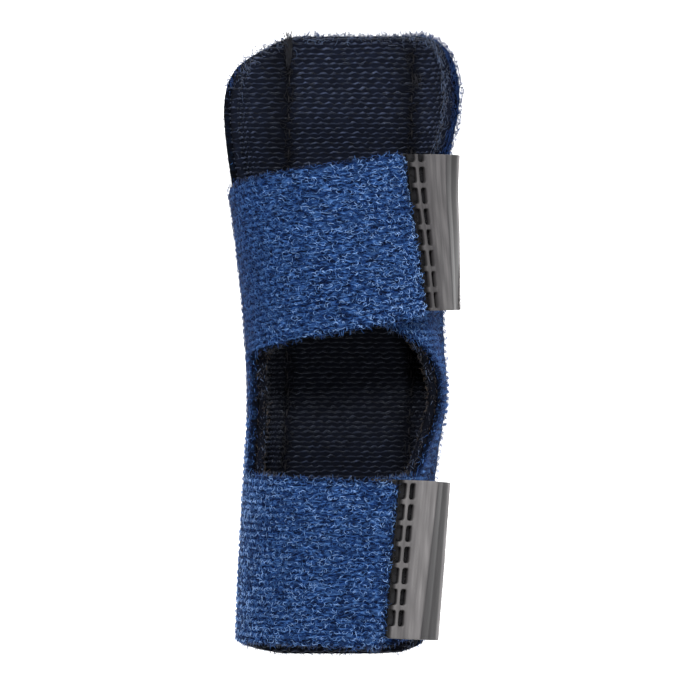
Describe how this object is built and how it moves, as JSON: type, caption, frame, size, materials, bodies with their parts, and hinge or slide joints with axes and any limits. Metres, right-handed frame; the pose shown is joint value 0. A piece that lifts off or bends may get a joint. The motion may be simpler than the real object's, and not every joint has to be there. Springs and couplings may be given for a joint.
{
  "type": "finger splint",
  "caption": "Laminated finger splint that wraps round the finger, open over the knuckle, with front straps closed by moulded pull tabs on hook tape.",
  "frame": {"origin": "middle of the flat outer face of the palm panel, which the splint lies on", "axes": "+X towards the side where the tabs close, +Y along the finger to the open fingertip end, +Z from the palm panel up through the straps"},
  "size_m": [0.0313, 0.08, 0.018],
  "materials": {
    "pile_fabric": "curly loop pile",
    "lining_fabric": "ribbed knit",
    "hook_tape": "matt",
    "tab_plastic": "satin"
  },
  "bodies": {
    "root": {"shell": "pile_fabric", "lining": "lining_fabric", "upper_hook_tape": "hook_tape", "lower_hook_tape": "hook_tape", "upper_pull_tab": "tab_plastic", "lower_pull_tab": "tab_plastic"}
  },
  "joints": []
}
